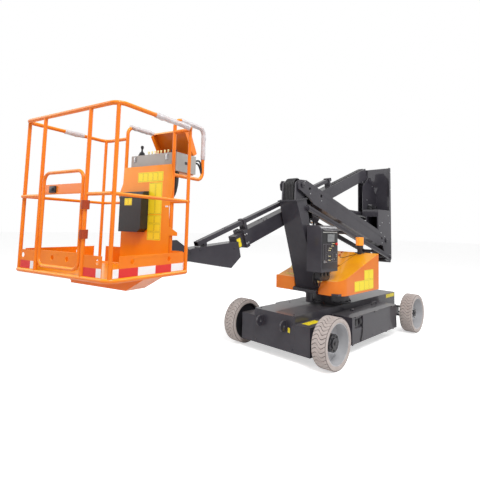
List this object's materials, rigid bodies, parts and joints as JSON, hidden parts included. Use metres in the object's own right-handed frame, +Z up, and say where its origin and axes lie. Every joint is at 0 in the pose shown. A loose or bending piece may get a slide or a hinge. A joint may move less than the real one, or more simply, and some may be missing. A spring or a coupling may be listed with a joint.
{
  "type": "articulating boom lift",
  "caption": "Four-wheeled electric access machine with a riser arm, a telescopic main boom and a railed work platform.",
  "frame": {"origin": "on the ground below the middle of the whole machine", "axes": "+X towards the platform end, +Y to the side with the ground controls, +Z up"},
  "size_m": [5.8269, 1.52, 2.64],
  "materials": {
    "dark_paint": "semi-gloss dark grey paint",
    "orange_paint": "gloss orange paint",
    "tyre_rubber": "light grey non-marking rubber",
    "rim_paint": "satin grey paint",
    "console_grey": "satin grey paint",
    "polished_rod": "hard chrome",
    "amber_lens": "clear amber plastic",
    "black_plastic": "satin black"
  },
  "bodies": {
    "chassis": {"chassis_frame": "dark_paint", "battery_box_left": "dark_paint", "battery_box_right": "dark_paint", "front_axle": "dark_paint", "rear_axle": "dark_paint", "slew_ring": "dark_paint"},
    "battery_lid_left": {"battery_lid_left": "dark_paint"},
    "battery_lid_right": {"battery_lid_right": "dark_paint"},
    "wheel_front_left": {"tyre_front_left": "tyre_rubber", "rim_front_left": "rim_paint"},
    "wheel_front_right": {"tyre_front_right": "tyre_rubber", "rim_front_right": "rim_paint"},
    "knuckle_left": {"knuckle_left": "dark_paint"},
    "knuckle_right": {"knuckle_right": "dark_paint"},
    "wheel_rear_left": {"tyre_rear_left": "tyre_rubber", "rim_rear_left": "rim_paint"},
    "wheel_rear_right": {"tyre_rear_right": "tyre_rubber", "rim_rear_right": "rim_paint"},
    "turntable": {"turntable": "dark_paint", "mast": "dark_paint", "mast_hoses": "black_plastic", "hood_left": "orange_paint", "hood_right": "orange_paint", "power_unit": "black_plastic", "oil_tank": "black_plastic", "beacon": "amber_lens", "ground_controls": "dark_paint"},
    "riser_arm": {"riser_arm": "dark_paint"},
    "lower_links": {"lower_links": "dark_paint"},
    "riser_cylinder": {"riser_cylinder": "dark_paint"},
    "riser_piston_rod": {"riser_piston_rod": "polished_rod"},
    "upright": {"upright": "dark_paint"},
    "main_boom": {"main_boom": "dark_paint"},
    "boom_cylinder": {"boom_cylinder": "dark_paint"},
    "boom_piston_rod": {"boom_piston_rod": "polished_rod"},
    "fly_boom": {"fly_boom": "dark_paint", "boom_nose": "dark_paint", "cable_tray": "dark_paint"},
    "level_bracket": {"level_bracket": "dark_paint", "bracket_hoses": "black_plastic", "rotator": "dark_paint"},
    "platform": {"platform_support": "orange_paint", "platform_rails": "orange_paint", "platform_posts": "orange_paint", "guard_loops": "orange_paint", "platform_deck": "orange_paint", "console_panel": "orange_paint", "document_box": "dark_paint", "control_box": "console_grey"},
    "gate": {"gate": "orange_paint"},
    "console_cover": {"console_cover": "orange_paint"}
  },
  "joints": [
    {"name": "slew", "type": "hinge", "parent": "chassis", "child": "turntable", "pos_m": [-1.052, 0, 0.62], "axis": [0, 0, 1], "range_deg": [-177.5, 177.5]},
    {"name": "steer_left", "type": "hinge", "parent": "chassis", "child": "knuckle_left", "pos_m": [-2.312, 0.52, 0.2795], "axis": [0, 0, 1], "range_deg": [-35, 35]},
    {"name": "steer_right", "type": "hinge", "parent": "chassis", "child": "knuckle_right", "pos_m": [-2.312, -0.52, 0.2795], "axis": [0, 0, 1], "range_deg": [-35, 35]},
    {"name": "spin_front_left", "type": "hinge", "parent": "chassis", "child": "wheel_front_left", "pos_m": [0.008, 0.671, 0.2795], "axis": [0, 1, 0], "continuous": true},
    {"name": "spin_front_right", "type": "hinge", "parent": "chassis", "child": "wheel_front_right", "pos_m": [0.008, -0.671, 0.2795], "axis": [0, 1, 0], "continuous": true},
    {"name": "spin_rear_left", "type": "hinge", "parent": "knuckle_left", "child": "wheel_rear_left", "pos_m": [-2.312, 0.671, 0.2795], "axis": [0, 1, 0], "continuous": true},
    {"name": "spin_rear_right", "type": "hinge", "parent": "knuckle_right", "child": "wheel_rear_right", "pos_m": [-2.312, -0.671, 0.2795], "axis": [0, 1, 0], "continuous": true},
    {"name": "lid_left_hinge", "type": "hinge", "parent": "chassis", "child": "battery_lid_left", "pos_m": [-1.907, 0.6073, 0.436], "axis": [-1, 0, 0], "range_deg": [0, 100]},
    {"name": "lid_right_hinge", "type": "hinge", "parent": "chassis", "child": "battery_lid_right", "pos_m": [-1.907, -0.6073, 0.436], "axis": [1, 0, 0], "range_deg": [0, 100]},
    {"name": "riser_lift", "type": "hinge", "parent": "turntable", "child": "riser_arm", "pos_m": [-0.161, 0, 2.063], "axis": [0, 1, 0], "range_deg": [0, 65]},
    {"name": "link_turn", "type": "hinge", "parent": "turntable", "child": "lower_links", "pos_m": [-0.282, 0, 1.779], "axis": [0, 1, 0], "range_deg": [0, 65]},
    {"name": "upright_turn", "type": "hinge", "parent": "riser_arm", "child": "upright", "pos_m": [-2.61213, 0, 1.34902], "axis": [0, 1, 0], "range_deg": [-65, 0]},
    {"name": "riser_cylinder_foot", "type": "hinge", "parent": "turntable", "child": "riser_cylinder", "pos_m": [-0.952, 0, 0.85], "axis": [0, -1, 0], "range_deg": [0, 14.9]},
    {"name": "riser_cylinder_stroke", "type": "slide", "parent": "riser_cylinder", "child": "riser_piston_rod", "axis": [0.3915, 0, 0.9202], "range_m": [0, 0.61057]},
    {"name": "boom_lift", "type": "hinge", "parent": "upright", "child": "main_boom", "pos_m": [-2.65213, -0.255, 2.40002], "axis": [0, -1, 0], "range_deg": [0, 90]},
    {"name": "boom_cylinder_foot", "type": "hinge", "parent": "upright", "child": "boom_cylinder", "pos_m": [-2.67213, -0.255, 1.78902], "axis": [0, -1, 0], "range_deg": [0, 71.95]},
    {"name": "boom_cylinder_stroke", "type": "slide", "parent": "boom_cylinder", "child": "boom_piston_rod", "axis": [0.9993, 0, 0.0387], "range_m": [0, 0.67027]},
    {"name": "telescope", "type": "slide", "parent": "main_boom", "child": "fly_boom", "axis": [0.9379, 0, -0.3469], "range_m": [0, 1.2]},
    {"name": "platform_level", "type": "hinge", "parent": "fly_boom", "child": "level_bracket", "pos_m": [1.40739, -0.255, 1.21009], "axis": [0, -1, 0], "range_deg": [-90, 0]},
    {"name": "platform_turn", "type": "hinge", "parent": "level_bracket", "child": "platform", "pos_m": [1.84739, -0.255, 1.122], "axis": [0, 0, 1], "range_deg": [-102.9, 77.1]},
    {"name": "gate_hinge", "type": "hinge", "parent": "platform", "child": "gate", "pos_m": [2.7314, 0.48093, 1.411], "axis": [0, 0, -1], "range_deg": [0, 90]},
    {"name": "cover_hinge", "type": "hinge", "parent": "platform", "child": "console_cover", "pos_m": [1.78079, 0.12984, 2.13], "axis": [-0.2233, 0.9748, 0], "range_deg": [0, 56]}
  ],
  "couplings": [
    {"joint": "steer_right", "follows": "steer_left", "ratio": 1},
    {"joint": "link_turn", "follows": "riser_lift", "ratio": 1},
    {"joint": "upright_turn", "follows": "riser_lift", "ratio": -1},
    {"joint": "riser_cylinder_foot", "follows": "riser_lift", "ratio": 0.22896},
    {"joint": "riser_cylinder_stroke", "follows": "riser_lift", "m_per_rad": 0.53802},
    {"joint": "boom_cylinder_foot", "follows": "boom_lift", "ratio": 0.79921},
    {"joint": "boom_cylinder_stroke", "follows": "boom_lift", "m_per_rad": 0.42658},
    {"joint": "platform_level", "follows": "boom_lift", "ratio": -1}
  ]
}
